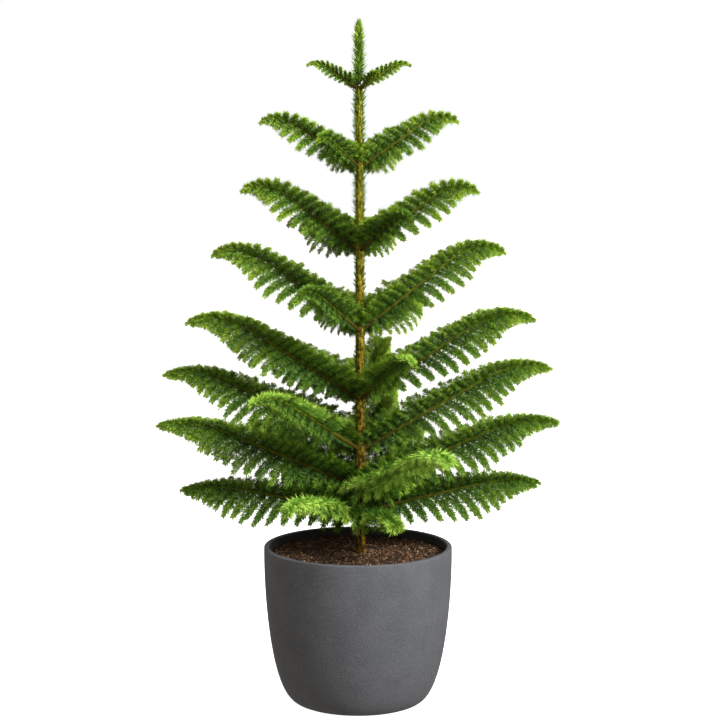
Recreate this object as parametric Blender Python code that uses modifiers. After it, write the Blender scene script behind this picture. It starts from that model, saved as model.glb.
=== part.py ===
"""A potted Norfolk Island pine: a straight trunk with whorls of arching fronds, in a round fibre-clay pot.

The frame is in metres with +Z up. The origin is the centre of the pot's flat underside.
+X is the plant's right as seen from its front, and -Y points to its front.
"""

import math
import random

import bmesh
import bpy
from mathutils import Vector
from mathutils.bvhtree import BVHTree

# Clearance that neighbouring solids keep, in metres, and the angle over which an edge is shaded sharp
GAP = 0.0003
SHARP_ANGLE = 50

# Pot and soil, in metres. The wall bellies out over its shoulder and rounds in below its turning height.
POT_RADIUS = 0.140
POT_HEIGHT = 0.234
POT_FOOT_RADIUS = 0.090
POT_BELLY = 0.001
POT_TURN = POT_HEIGHT * 0.64
POT_ROUND = 0.012
POT_WALL = 0.008
POT_FLOOR = 0.011
LIP_ROUNDING = 0.0022
POT_SIDES = 32
OUTER_STEPS = 8
INNER_STEPS = 5
SOIL_LEVEL = 0.2205
SOIL_MOUND = 0.0015
MOUND_RADIUS = 0.020

# Trunk, in metres. It ends at the top whorl, and the leading shoot goes on from there.
TRUNK_FOOT = SOIL_LEVEL + SOIL_MOUND + GAP
TRUNK_TOP = 0.914
PLANT_TIP = 1.011
FOOT_RADIUS = 0.0078
STEM_RADIUS = 0.0063
TOP_RADIUS = 0.0034
FLARE_HEIGHT = 0.022
COLLAR_SWELL = 1.16
COLLAR_HALF = 0.007
FOOT_OFFSET = 0.0042
TIP_OFFSET = 0.0012
BOW = 0.0012

# Branches. A branch runs straight at its pitch, then arches over until its tip droops.
ARCH_START = 0.56
ARCH_POWER = 2.2
TIP_PITCH = -45.0
CURVE_STEPS = 40
BRANCH_RADIUS = 0.0026
BRANCH_TIP_RADIUS = 0.0009
THINNER_A_WHORL = 0.06
BOUGH_REACH = 0.031
BOUGH_STEPS = 3
BOUGH_SWELL = 1.2
BARE_REACH = 0.020
BARE_PAST_BOUGH = 0.002
SPRAYS_END = 0.965

# Sprays. Each is a toothed blade that stands for a few side shoots with their needles, one tooth a shoot.
# The upper shoots rise from the branch and the lower ones hang. The angles are in degrees: the lean is
# sideways out of the branch's upright plane, and the swing is from the branch's own direction, by the
# trunk and at the tip. The lengths are shares of the branch's length.
SEED = 11
SHOOT_SPACING = 0.0172
SHOOTS_A_SPRAY = 3
SHOOT_WIDTH = 0.0098
UPPER = {"length": 0.165, "peak": 0.24, "tip": 0.26, "lean": (32, 42), "swing": (96, 44), "droop": 0.15}
LOWER = {"length": 0.215, "peak": 0.42, "tip": 0.20, "lean": (30, 42), "swing": (62, 38), "droop": 0.62}
LENGTH_BY_TRUNK = 0.42
LENGTH_FALL = 1.15
LENGTH_SPREAD = (0.92, 1.06)
NOTCH_AT = 0.26
HALF_THICKNESS = 0.0008
SIZES_TO_TRY = (1.0, 0.72, 0.48)
CLEARANCE = 0.0012

# Leading shoot above the top whorl, with short sprays all round it
LEADER_RADIUS = 0.0027
LEADER_LEVELS = 2
LEADER_SIDES = 5
LEADER_BARE_TIP = 0.018
LEADER_SPRAY_LENGTH = 0.013
LEADER_SPRAY_WIDTH = 0.0052
LEADER_SPREAD = 0.75

# Whorls from the ground up: height of the whorl on the trunk, length of a side branch, and for each
# branch its side, its azimuth from +X in degrees, its share of that length and its pitch in degrees.
WHORLS = (
    (0.286, 0.274, (
        ("right", 4, 1.00, 9), ("left", 175, 1.00, 8), ("front_left", -117, 0.84, 15),
        ("front_right", -68, 0.50, 5), ("back_right", 62, 0.92, 8), ("back_left", 120, 0.92, 8))),
    (0.322, 0.320, (
        ("right", -3, 1.00, 22), ("left", 184, 1.00, 21), ("front_right", -62, 0.86, 22),
        ("back_right", 68, 0.90, 15), ("back_left", 128, 0.92, 16))),
    (0.377, 0.321, (
        ("right", 5, 1.00, 28), ("left", 176, 1.00, 27), ("front_left", -128, 0.86, 28),
        ("back_right", 78, 0.88, 16), ("back_left", 124, 0.92, 17))),
    (0.453, 0.292, (
        ("right", -4, 1.02, 33), ("left", 186, 1.00, 33), ("front_right", -66, 0.72, 28),
        ("back_right", 80, 0.90, 18), ("back_left", 128, 0.90, 18))),
    (0.5545, 0.260, (
        ("right", 7, 1.00, 37), ("left", 177, 1.00, 36), ("front_left", -118, 0.80, 27),
        ("back_right", 62, 0.86, 14), ("back_left", 108, 0.86, 14))),
    (0.672, 0.206, (
        ("right", -5, 1.00, 38), ("left", 183, 1.00, 38), ("front_right", -60, 0.80, 28),
        ("back_right", 72, 0.86, 14), ("back_left", 122, 0.86, 15))),
    (0.794, 0.168, (
        ("right", 4, 1.00, 36), ("left", 176, 1.01, 35), ("front_left", -120, 0.78, 28),
        ("back_right", 62, 0.82, 16), ("back_left", 112, 0.82, 16))),
    (0.907, 0.087, (
        ("right", 0, 1.00, 35), ("left", 180, 1.01, 35), ("front_right", -58, 0.72, 30),
        ("back_left", 108, 0.80, 22))),
)


# Objects, meshes and materials

def new_object(name, mesh, material, collection):
    """An object with this mesh, or curve, in the collection."""
    obj = bpy.data.objects.new(name, mesh)
    collection.objects.link(obj)
    if material is not None:
        mesh.materials.append(material)
    return obj


def make_material(name, colour, roughness):
    """A Principled material in one plain colour."""
    material = bpy.data.materials.new(name)
    material.use_nodes = True
    surface = material.node_tree.nodes["Principled BSDF"]
    surface.inputs["Base Color"].default_value = (*colour, 1.0)
    surface.inputs["Roughness"].default_value = roughness
    surface.inputs["Metallic"].default_value = 0.0
    return material


def evaluated_mesh(obj):
    """A copy of the mesh that the object's curve or modifiers make."""
    bpy.context.view_layer.update()
    graph = bpy.context.evaluated_depsgraph_get()
    return bpy.data.meshes.new_from_object(obj.evaluated_get(graph))


def apply_modifiers(obj):
    """The object keeps the mesh that its modifiers make."""
    mesh = evaluated_mesh(obj)
    obj.modifiers.clear()
    obj.data = mesh


def tapered_tube(name, points, radii, resolution, material, collection):
    """A round limb: a bevelled curve with a radius at each point, made a mesh with its caps welded on."""
    curve = bpy.data.curves.new(name, "CURVE")
    curve.dimensions = "3D"
    curve.bevel_depth = 1.0
    curve.bevel_resolution = resolution
    curve.use_fill_caps = True
    spline = curve.splines.new("POLY")
    spline.points.add(len(points) - 1)
    for control, point, radius in zip(spline.points, points, radii):
        control.co = (*point, 1.0)
        control.radius = radius
    guide = new_object(name + "_line", curve, None, collection)
    mesh = evaluated_mesh(guide)
    bpy.data.objects.remove(guide)
    shape = bmesh.new()
    shape.from_mesh(mesh)
    bmesh.ops.remove_doubles(shape, verts=shape.verts, dist=1e-6)
    bmesh.ops.recalc_face_normals(shape, faces=shape.faces)
    shape.to_mesh(mesh)
    shape.free()
    mesh.shade_smooth()
    mesh.set_sharp_from_angle(angle=math.radians(SHARP_ANGLE))
    return new_object(name, mesh, material, collection)


def polygons_of(objects):
    """The corners and faces of some objects' meshes together."""
    corners, faces = [], []
    for obj in objects:
        first = len(corners)
        corners.extend(obj.matrix_world @ vertex.co for vertex in obj.data.vertices)
        faces.extend([first + index for index in face.vertices] for face in obj.data.polygons)
    return corners, faces


# Pot and soil

def wall_curve(inset, floor, top, steps):
    """The wall's line from below the rim down to the floor, as a Bezier curve: upright, then rounding in."""
    radius = POT_RADIUS - inset
    controls = ((radius, top), (radius + POT_BELLY, POT_TURN), (radius - POT_ROUND, floor),
                (POT_FOOT_RADIUS - inset, floor))
    points = []
    for step in range(steps + 1):
        t = step / steps
        weights = ((1 - t) ** 3, 3 * t * (1 - t) ** 2, 3 * t * t * (1 - t), t ** 3)
        radius, height = (sum(w * control[axis] for w, control in zip(weights, controls)) for axis in (0, 1))
        points.append((radius, height))
    return points


def turned(name, profile, material, collection):
    """A solid turned about Z from its half section, which runs down its outer side."""
    mesh = bpy.data.meshes.new(name)
    mesh.from_pydata([(radius, 0.0, height) for radius, height in profile],
                     [(index, index + 1) for index in range(len(profile) - 1)], [])
    obj = new_object(name, mesh, material, collection)
    screw = obj.modifiers.new("turn", "SCREW")
    screw.axis = "Z"
    screw.steps = POT_SIDES
    screw.render_steps = POT_SIDES
    screw.use_merge_vertices = True
    screw.merge_threshold = 0.00005
    screw.use_smooth_shade = True
    apply_modifiers(obj)
    obj.data.set_sharp_from_angle(angle=math.radians(SHARP_ANGLE))
    return obj


def make_pot(material, collection):
    """The shell: a level inner floor, the wall with its rounded lip, and the flat underside."""
    edge = POT_HEIGHT - LIP_ROUNDING
    eased = LIP_ROUNDING * 0.3
    inner_radius = POT_RADIUS - POT_WALL
    inner = wall_curve(POT_WALL, POT_FLOOR, edge, INNER_STEPS)
    lip = [(inner_radius + eased, POT_HEIGHT - eased), (inner_radius + LIP_ROUNDING, POT_HEIGHT),
           (POT_RADIUS - LIP_ROUNDING, POT_HEIGHT), (POT_RADIUS - eased, POT_HEIGHT - eased)]
    outer = wall_curve(0.0, 0.0, edge, OUTER_STEPS)
    profile = [(0.0, POT_FLOOR)] + inner[::-1] + lip + outer + [(0.0, 0.0)]
    return turned("pot", profile, material, collection)


def make_soil(material, collection):
    """The potting mix: it fills the pot with a small gap all round, and rises a little at the trunk."""
    inner = wall_curve(POT_WALL + 2 * GAP, POT_FLOOR + GAP, POT_HEIGHT - LIP_ROUNDING, INNER_STEPS)
    side = [point for point in inner if point[1] < SOIL_LEVEL]
    above = inner[len(inner) - len(side) - 1]
    share = (SOIL_LEVEL - side[0][1]) / (above[1] - side[0][1])
    edge = side[0][0] + (above[0] - side[0][0]) * share
    top = [(0.0, SOIL_LEVEL + SOIL_MOUND), (MOUND_RADIUS, SOIL_LEVEL + SOIL_MOUND), (edge, SOIL_LEVEL)]
    return turned("soil", top + side + [(0.0, POT_FLOOR + GAP)], material, collection)


# Trunk

def trunk_radius(height):
    """The trunk's radius at a height: an even taper, with a flare at the foot."""
    share = (height - TRUNK_FOOT) / (TRUNK_TOP - TRUNK_FOOT)
    flare = max(0.0, 1.0 - (height - TRUNK_FOOT) / FLARE_HEIGHT) ** 2
    return STEM_RADIUS + (TOP_RADIUS - STEM_RADIUS) * share ** 1.4 + (FOOT_RADIUS - STEM_RADIUS) * flare


def trunk_axis(height):
    """The middle of the trunk at a height. It leans a little from its foot, with a slight bow."""
    share = (height - TRUNK_FOOT) / (PLANT_TIP - TRUNK_FOOT)
    return Vector((FOOT_OFFSET + (TIP_OFFSET - FOOT_OFFSET) * share, BOW * math.sin(math.pi * share), height))


def trunk_rings():
    """Heights and swellings of the trunk's rings: its foot and flare, a collar at each whorl, and its top."""
    rings = {TRUNK_FOOT: 1.0, TRUNK_FOOT + FLARE_HEIGHT * 0.4: 1.0, TRUNK_FOOT + FLARE_HEIGHT: 1.0}
    for height, _length, _branches in WHORLS:
        rings[height - COLLAR_HALF] = 1.0
        rings[height] = COLLAR_SWELL
        rings[min(height + COLLAR_HALF, TRUNK_TOP)] = 1.0
    return sorted(rings.items())


def make_trunk(material, collection):
    """The trunk, whole from its flat cut at the soil to the top whorl."""
    rings = trunk_rings()
    points = [trunk_axis(height) for height, _swell in rings]
    radii = [trunk_radius(height) * swell for height, swell in rings]
    return tapered_tube("trunk", points, radii, 2, material, collection)


def make_trunk_cutter(collection):
    """The trunk grown by the gap all round, which clears the feet of the branches."""
    rings = trunk_rings()
    points = [trunk_axis(height) for height, _swell in rings]
    points[0].z -= GAP
    points[-1].z += GAP
    radii = [trunk_radius(height) * swell + GAP for height, swell in rings]
    cutter = tapered_tube("trunk_cutter", points, radii, 2, None, collection)
    cutter.hide_render = True
    cutter.display_type = "WIRE"
    return cutter


def cut_clear(limb, cutter):
    """The limb's foot is cut to the trunk's shape, with the gap that touching solids keep."""
    cut = limb.modifiers.new("clear of the trunk", "BOOLEAN")
    cut.operation = "DIFFERENCE"
    cut.object = cutter
    apply_modifiers(limb)


# Branches: their lines, the boughs at their feet and the stems that go on from there

class Branch:
    """The centre line of one branch, from the trunk's axis to its drooping tip.

    Places along it are shares of its length. The joints part its leafy stretch into lengths of one spray."""

    def __init__(self, whorl, height, azimuth, length, pitch, bough_length):
        turn = math.radians(azimuth)
        self.whorl = whorl
        self.length = length
        self.pitch = pitch
        self.out = Vector((math.cos(turn), math.sin(turn), 0.0))
        self.side = Vector((0.0, 0.0, 1.0)).cross(self.out)
        self.points = [trunk_axis(height)]
        for step in range(CURVE_STEPS):
            heading = self.tangent((step + 0.5) / CURVE_STEPS)
            self.points.append(self.points[-1] + heading * (length / CURVE_STEPS))
        self.bough_end = (bough_length - GAP / 2) / length
        self.stem_start = (bough_length + GAP / 2) / length if bough_length else 0.0
        bare = max(bough_length + BARE_PAST_BOUGH, BARE_REACH) / length
        sprays = max(2, round(length * (SPRAYS_END - bare) / (SHOOT_SPACING * SHOOTS_A_SPRAY)))
        self.joints = [bare + (SPRAYS_END - bare) * index / sprays for index in range(sprays + 1)]

    def tangent(self, along):
        """The branch's direction."""
        arched = max(0.0, (along - ARCH_START) / (1.0 - ARCH_START)) ** ARCH_POWER
        pitch = math.radians(self.pitch + (TIP_PITCH - self.pitch) * arched)
        return self.out * math.cos(pitch) + Vector((0.0, 0.0, math.sin(pitch)))

    def upward(self, along):
        """The direction square to the branch in its upright plane."""
        return self.tangent(along).cross(self.side).normalized()

    def point(self, along):
        """The middle of the branch."""
        place = along * CURVE_STEPS
        step = min(int(place), CURVE_STEPS - 1)
        return self.points[step].lerp(self.points[step + 1], place - step)

    def radius(self, along):
        """The branch's radius: it tapers all the way, and the lowest whorls are the thickest."""
        foot = BRANCH_RADIUS * (1.0 - THINNER_A_WHORL * self.whorl)
        return foot + (BRANCH_TIP_RADIUS - foot) * along ** 0.8


def make_bough(name, branch, cutter, material, collection):
    """The woody foot of a branch: a round limb that tapers from the trunk to the frond's own stem."""
    places = [branch.bough_end * step / BOUGH_STEPS for step in range(BOUGH_STEPS + 1)]
    points = [branch.point(along) for along in places]
    swells = [BOUGH_SWELL + (1.0 - BOUGH_SWELL) * step / BOUGH_STEPS for step in range(BOUGH_STEPS + 1)]
    radii = [branch.radius(along) * swell for along, swell in zip(places, swells)]
    bough = tapered_tube(name, points, radii, 1, material, collection)
    cut_clear(bough, cutter)
    return bough


def three_corners(centre, first, second, radius):
    """The corners of a three-sided stem's ring in the plane of two directions."""
    corners = []
    for corner in range(3):
        turn = math.radians(90 + 120 * corner)
        corners.append(centre + (first * math.cos(turn) + second * math.sin(turn)) * radius)
    return corners


def make_stem(name, rings, material, collection):
    """A closed three-sided stem over its rings of three corners."""
    shape = bmesh.new()
    corners = [[shape.verts.new(point) for point in ring] for ring in rings]
    for ring, following in zip(corners, corners[1:]):
        for index in range(3):
            after = (index + 1) % 3
            shape.faces.new((ring[index], ring[after], following[after], following[index]))
    shape.faces.new(corners[0])
    shape.faces.new(corners[-1])
    bmesh.ops.recalc_face_normals(shape, faces=shape.faces)
    mesh = bpy.data.meshes.new(name)
    shape.to_mesh(mesh)
    shape.free()
    return new_object(name, mesh, material, collection)


def make_branch_stem(name, branch, material, collection):
    """The stem of a frond, from where its bough or the trunk ends to the branch's tip."""
    rings = []
    for along in [branch.stem_start] + branch.joints + [1.0]:
        centre, upward = branch.point(along), branch.upward(along)
        rings.append(three_corners(centre, branch.side, upward, branch.radius(along)))
    return make_stem(name, rings, material, collection)


# Shoots, and the sprays that they make up

class Shoot:
    """One side shoot with its needles. Past the notch between it and the next it bends down a little."""

    def __init__(self, root, forward, heading, length, width, droop, stem_radius):
        self.root = root
        self.forward = forward
        self.heading = heading.normalized()
        self.normal = forward.cross(heading).normalized()
        self.length = length
        self.half_width = min(width, 0.5 * length) / 2
        self.bent = (self.heading + Vector((0.0, 0.0, -droop))).normalized()
        self.half_thickness = min(HALF_THICKNESS, 0.40 * stem_radius)

    def elbow(self, scale):
        """Where the shoot stands free of its neighbours."""
        return self.root + self.heading * (self.length * scale * NOTCH_AT)

    def tip_corners(self, scale, margin):
        """The two corners of its blunt tip, the rear one first."""
        tip = self.elbow(scale) + self.bent * (self.length * scale * (1.0 - NOTCH_AT))
        across = self.bent.cross(self.normal).normalized()
        if across.dot(self.forward) < 0.0:
            across = -across
        half = self.half_width * scale + margin
        return [tip - across * half, tip + across * half]


def spray_shape(shoots, scale, margin=0.0):
    """Corners and faces of a toothed blade: thick along the stem, with a sharp-edged tooth for each shoot.

    The margin makes it that much larger all round, for the test of its clearance."""
    corners = []

    def pair(point, shoot):
        offset = shoot.normal * (shoot.half_thickness + margin)
        corners.extend([point + offset, point - offset])
        return len(corners) - 2

    half_step = 0.45 * (shoots[-1].root - shoots[0].root) / (len(shoots) - 1)
    feet = [pair(shoots[0].root - half_step, shoots[0])]
    for shoot, following in zip(shoots, shoots[1:]):
        feet.append(pair(shoot.elbow(scale).lerp(following.elbow(scale), 0.5), shoot))
    feet.append(pair(shoots[-1].root + half_step, shoots[-1]))
    teeth = []
    for shoot in shoots:
        teeth.append(len(corners))
        corners.extend(shoot.tip_corners(scale, margin))

    rear, front = feet[0], feet[-1]
    faces = [(rear, front, front + 1, rear + 1)]
    faces += [(rear, rear + 1, teeth[0]), (front, front + 1, teeth[-1] + 1)]
    for notch, tooth, following in zip(feet[1:-1], teeth, teeth[1:]):
        faces += [(notch, notch + 1, tooth + 1), (notch, notch + 1, following)]
    for layer in (0, 1):
        for before, after, tooth in zip(feet, feet[1:], teeth):
            diagonal = tooth + 1 if tooth == teeth[-1] else after + layer
            other = before + layer if tooth == teeth[-1] else tooth
            faces += [(before + layer, tooth, diagonal), (other, tooth + 1, after + layer)]
        for before, after in zip(feet[1:], feet[2:]):
            faces.append((rear + layer, before + layer, after + layer))
    return corners, faces


def make_spray(name, shape, collection):
    """One blade as a closed mesh of its own, to be fused to a stem."""
    mesh = bpy.data.meshes.new(name)
    mesh.from_pydata(shape[0], [], shape[1])
    solid = bmesh.new()
    solid.from_mesh(mesh)
    bmesh.ops.triangulate(solid, faces=solid.faces)
    bmesh.ops.recalc_face_normals(solid, faces=solid.faces)
    solid.to_mesh(mesh)
    solid.free()
    return new_object(name, mesh, None, collection)


def fuse(stem, sprays, workspace):
    """One Boolean union of the stem with the collection of its sprays, which are then removed."""
    union = stem.modifiers.new("fuse", "BOOLEAN")
    union.operation = "UNION"
    union.operand_type = "COLLECTION"
    union.collection = workspace
    apply_modifiers(stem)
    for spray in sprays:
        bpy.data.objects.remove(spray)


# Fronds

def between(ends, share):
    """The value at a share of the way from the first end to the second."""
    return ends[0] + (ends[1] - ends[0]) * share


def shoot_length(branch, along, row):
    """A row's shoots are short by the trunk, longest at its peak and short again at the branch's tip."""
    rise = min(1.0, between((LENGTH_BY_TRUNK, 1.0), along / row["peak"]))
    past_peak = max(0.0, (along - row["peak"]) / (1.0 - row["peak"]))
    return branch.length * row["length"] * rise * between((1.0, row["tip"]), past_peak ** LENGTH_FALL)


def side_shoot(branch, root, along, row, side, lean, length):
    """A shoot of a branch. By the trunk it stands square to the branch, and at the tip it points ahead."""
    swing = math.radians(between(row["swing"], along))
    rise = 1.0 if row is UPPER else -1.0
    away = branch.upward(along) * (rise * math.cos(lean)) + branch.side * (side * math.sin(lean))
    heading = branch.tangent(along) * math.cos(swing) + away * math.sin(swing)
    forward = branch.tangent(along)
    return Shoot(root, forward, heading, length, SHOOT_WIDTH, row["droop"], branch.radius(along))


def spray_plan(branch, rng):
    """The sprays of a branch from its foot to its tip, each a list of shoots.

    Each length has a spray that rises and one that hangs, on opposite sides. The next has them reversed."""
    plan = []
    for number, (rear, front) in enumerate(zip(branch.joints, branch.joints[1:])):
        for row in (UPPER, LOWER):
            side = 1 if (number % 2 == 0) == (row is UPPER) else -1
            lean = math.radians(rng.uniform(*row["lean"]))
            shoots = []
            for index in range(SHOOTS_A_SPRAY):
                share = (index + 0.5) / SHOOTS_A_SPRAY
                root = branch.point(rear).lerp(branch.point(front), share)
                along = between((rear, front), share)
                length = shoot_length(branch, along, row) * rng.uniform(*LENGTH_SPREAD)
                shoots.append(side_shoot(branch, root, along, row, side, lean, length))
            plan.append(shoots)
    return plan


def grow_frond(stem, branch, rng, neighbours, workspace):
    """The sprays are fused to the frond's stem. One that would touch a neighbour is smaller or left out."""
    corners, faces = polygons_of(neighbours)
    taken = BVHTree.FromPolygons(corners, faces)
    sprays = []
    for shoots in spray_plan(branch, rng):
        for scale in SIZES_TO_TRY:
            with_margin = spray_shape(shoots, scale, CLEARANCE)
            if not BVHTree.FromPolygons(*with_margin).overlap(taken):
                sprays.append(make_spray("spray", spray_shape(shoots, scale), workspace))
                break
    fuse(stem, sprays, workspace)


# Leading shoot

def leader_spray(foot, level, side):
    """A spray on the leading shoot: short teeth, one over the other, that point up and out.

    Each side starts a little higher than the last and turned a little further, as leaves that spiral."""
    up = Vector((0.0, 0.0, 1.0))
    turn = math.radians(360 * (side + 0.5 * level + 0.04 * side * side) / LEADER_SIDES)
    outward = Vector((math.cos(turn), math.sin(turn), 0.0))
    step = (PLANT_TIP - LEADER_BARE_TIP - foot) / (LEADER_LEVELS * SHOOTS_A_SPRAY)
    shoots = []
    for index in range(SHOOTS_A_SPRAY):
        height = foot + step * (level * SHOOTS_A_SPRAY + index + 0.5 + 0.09 * side)
        heading = outward * LEADER_SPREAD + up
        shoots.append(Shoot(trunk_axis(height), up, heading, LEADER_SPRAY_LENGTH, LEADER_SPRAY_WIDTH,
                            0.0, LEADER_RADIUS))
    return spray_shape(shoots, 1.0)


def make_leading_shoot(material, collection, workspace):
    """The green leading shoot above the top whorl: a stem with short sprays all round."""
    foot = TRUNK_TOP + GAP
    across, along = Vector((1.0, 0.0, 0.0)), Vector((0.0, 1.0, 0.0))
    rings = []
    for share, slimmer in ((0.0, 1.0), (0.55, 0.75), (1.0, 0.18)):
        height = between((foot, PLANT_TIP), share)
        rings.append(three_corners(trunk_axis(height), across, along, LEADER_RADIUS * slimmer))
    shoot = make_stem("leading_shoot", rings, material, collection)
    sprays = []
    for level in range(LEADER_LEVELS):
        for side in range(LEADER_SIDES):
            sprays.append(make_spray("spray", leader_spray(foot, level, side), workspace))
    fuse(shoot, sprays, workspace)
    return shoot


def main():
    """The whole plant: pot and soil, trunk and leading shoot, then the boughs and fronds of each whorl."""
    for obj in list(bpy.data.objects):
        bpy.data.objects.remove(obj)
    plant = bpy.data.collections.new("potted_norfolk_island_pine")
    cutters = bpy.data.collections.new("cutters")
    workspace = bpy.data.collections.new("sprays")
    for collection in (plant, cutters, workspace):
        bpy.context.scene.collection.children.link(collection)

    clay = make_material("dark grey fibre clay", (0.098, 0.100, 0.108), 0.72)
    mix = make_material("potting mix", (0.030, 0.018, 0.010), 0.95)
    bark = make_material("golden brown bark", (0.230, 0.150, 0.035), 0.70)
    needles = make_material("green needles", (0.060, 0.150, 0.020), 0.55)

    pot = make_pot(clay, plant)
    soil = make_soil(mix, plant)
    trunk = make_trunk(bark, plant)
    cutter = make_trunk_cutter(cutters)
    solids = [pot, soil, trunk, make_leading_shoot(needles, plant, workspace)]

    fronds = []
    for whorl, (height, side_length, branches) in enumerate(WHORLS):
        for side, azimuth, share, pitch in branches:
            name = f"whorl_{whorl + 1}_{side}"
            woody = side in ("right", "left") and height != WHORLS[-1][0]
            branch = Branch(whorl, height, azimuth, side_length * share, pitch, BOUGH_REACH if woody else 0.0)
            stem = make_branch_stem("frond_" + name, branch, needles, plant)
            if woody:
                solids.append(make_bough("bough_" + name, branch, cutter, bark, plant))
            else:
                cut_clear(stem, cutter)
            solids.append(stem)
            fronds.append((stem, branch))

    rng = random.Random(SEED)
    for stem, branch in fronds:
        grow_frond(stem, branch, rng, [solid for solid in solids if solid is not stem], workspace)
    bpy.data.collections.remove(workspace)


main()
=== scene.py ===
"""A potted Norfolk Island pine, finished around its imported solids.

The frame is in metres with +Z up, and the plant's front faces -Y. The script follows the plant as it stands:
the pot, the potting mix, the trunk, the branches whorl by whorl, their side shoots, and then the needles.
"""

import math

import bpy
import numpy as np
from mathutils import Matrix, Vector, noise


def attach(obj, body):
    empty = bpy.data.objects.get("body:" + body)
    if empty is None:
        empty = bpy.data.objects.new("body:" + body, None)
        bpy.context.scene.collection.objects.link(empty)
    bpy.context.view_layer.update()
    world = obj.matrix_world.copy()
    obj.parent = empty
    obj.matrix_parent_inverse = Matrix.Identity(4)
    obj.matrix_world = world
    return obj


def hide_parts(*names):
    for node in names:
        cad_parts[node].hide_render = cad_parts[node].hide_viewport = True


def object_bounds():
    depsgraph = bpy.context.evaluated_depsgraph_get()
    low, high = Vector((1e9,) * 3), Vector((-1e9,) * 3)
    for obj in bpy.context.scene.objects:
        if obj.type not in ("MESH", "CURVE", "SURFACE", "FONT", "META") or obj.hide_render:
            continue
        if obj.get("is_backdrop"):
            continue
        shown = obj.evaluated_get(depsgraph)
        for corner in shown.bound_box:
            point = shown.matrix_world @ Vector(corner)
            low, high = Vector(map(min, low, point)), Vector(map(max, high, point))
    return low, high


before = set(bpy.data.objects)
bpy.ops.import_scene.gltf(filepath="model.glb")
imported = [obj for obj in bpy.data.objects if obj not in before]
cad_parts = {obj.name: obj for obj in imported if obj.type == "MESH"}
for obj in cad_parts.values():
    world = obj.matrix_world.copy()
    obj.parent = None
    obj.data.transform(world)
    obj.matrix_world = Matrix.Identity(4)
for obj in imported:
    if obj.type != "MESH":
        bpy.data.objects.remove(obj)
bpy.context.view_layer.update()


# The pot is a tall round tub cast in dark grey fibre clay, with a wall 8 mm thick and a soft, rounded lip.
# Its sides stand nearly upright and round in to a smaller flat foot. The face is matt, finely speckled and
# a little cloudy, and the inside is painted darker than the outside, as painted shade.
POT_RADIUS = 0.140
POT_HEIGHT = 0.234
POT_FOOT_RADIUS = 0.090
POT_BELLY = 0.001
POT_TURN = POT_HEIGHT * 0.64
POT_ROUND = 0.012
POT_WALL = 0.008
POT_FLOOR = 0.011
LIP_ROUNDING = 0.0018
POT_SIDES = 128
POT_WALL_STEPS = 28
LIP_STEPS = 5
CLAY = (85, 87, 92)
CLAY_CLOUD = (76, 78, 83)
CLAY_SPECK = (120, 121, 125)
# Painted shade: the darker clay of the pot's inside wall.
PAINTED_SHADE_CLAY = (62, 62, 64)
CLOUDS_A_METRE = 22
SPECKS_A_METRE = 620
SPECK_MASK = ((0.50, (0, 0, 0)), (0.74, (188, 188, 188)))
PITS_A_METRE = 480
PIT_DEPTH = 0.0005


def srgb(colour):
    """A linear RGBA colour from one on the 0 to 255 scale of a paint chart."""
    shares = [value / 255 for value in colour]
    return (*[s / 12.92 if s <= 0.04045 else ((s + 0.055) / 1.055) ** 2.4 for s in shares], 1.0)


def new_finish(name, colour, roughness, specular=0.5):
    """A Principled material in one colour, and its shader node."""
    material = bpy.data.materials.new(name)
    material.use_nodes = True
    shader = material.node_tree.nodes["Principled BSDF"]
    shader.inputs["Base Color"].default_value = srgb(colour)
    shader.inputs["Roughness"].default_value = roughness
    shader.inputs["Specular IOR Level"].default_value = specular
    return material, shader


def noise_value(material, scale, detail=3.0, roughness=0.55):
    """The value of a noise that is fixed to the object, with about so many lumps in a metre."""
    nodes, links = material.node_tree.nodes, material.node_tree.links
    place = nodes.new("ShaderNodeTexCoord")
    grain = nodes.new("ShaderNodeTexNoise")
    grain.inputs["Scale"].default_value = scale
    grain.inputs["Detail"].default_value = detail
    grain.inputs["Roughness"].default_value = roughness
    links.new(place.outputs["Object"], grain.inputs["Vector"])
    return grain.outputs["Fac"]


def colour_ramp(material, value, stops):
    """Colours spread over a value: each stop is its place from 0 to 1 and its colour."""
    ramp = material.node_tree.nodes.new("ShaderNodeValToRGB")
    while len(ramp.color_ramp.elements) < len(stops):
        ramp.color_ramp.elements.new(1.0)
    for element, (place, colour) in zip(ramp.color_ramp.elements, stops):
        element.position = place
        element.color = srgb(colour)
    material.node_tree.links.new(value, ramp.inputs["Fac"])
    return ramp.outputs["Color"]


def blend_colours(material, share, first, second):
    """The first colour where the share is 0 and the second where it is 1."""
    mix = material.node_tree.nodes.new("ShaderNodeMix")
    mix.data_type = "RGBA"
    links = material.node_tree.links
    links.new(share, mix.inputs["Factor"])
    links.new(first, mix.inputs["A"])
    links.new(second, mix.inputs["B"])
    return mix.outputs["Result"]


def add_bump(material, shader, height, distance, strength=1.0):
    """Fine relief on the surface, so many metres deep."""
    bump = material.node_tree.nodes.new("ShaderNodeBump")
    bump.inputs["Distance"].default_value = distance
    bump.inputs["Strength"].default_value = strength
    material.node_tree.links.new(height, bump.inputs["Height"])
    material.node_tree.links.new(bump.outputs["Normal"], shader.inputs["Normal"])


def clay_finish(name, clay, cloud, speck):
    """Fibre clay: a base grey with darker clouds a few centimetres wide, pale specks and fine pits."""
    material, shader = new_finish(name, clay, 0.68, 0.35)
    cloudiness = noise_value(material, CLOUDS_A_METRE, 6.0, 0.62)
    clouds = colour_ramp(material, cloudiness, ((0.36, cloud), (0.62, clay)))
    specks = noise_value(material, SPECKS_A_METRE, 2.0)
    mask = colour_ramp(material, specks, SPECK_MASK)
    pale = colour_ramp(material, specks, ((0.0, speck), (1.0, speck)))
    speckled = blend_colours(material, mask, clouds, pale)
    material.node_tree.links.new(speckled, shader.inputs["Base Color"])
    add_bump(material, shader, noise_value(material, PITS_A_METRE, 4.0), PIT_DEPTH)
    return material


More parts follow.
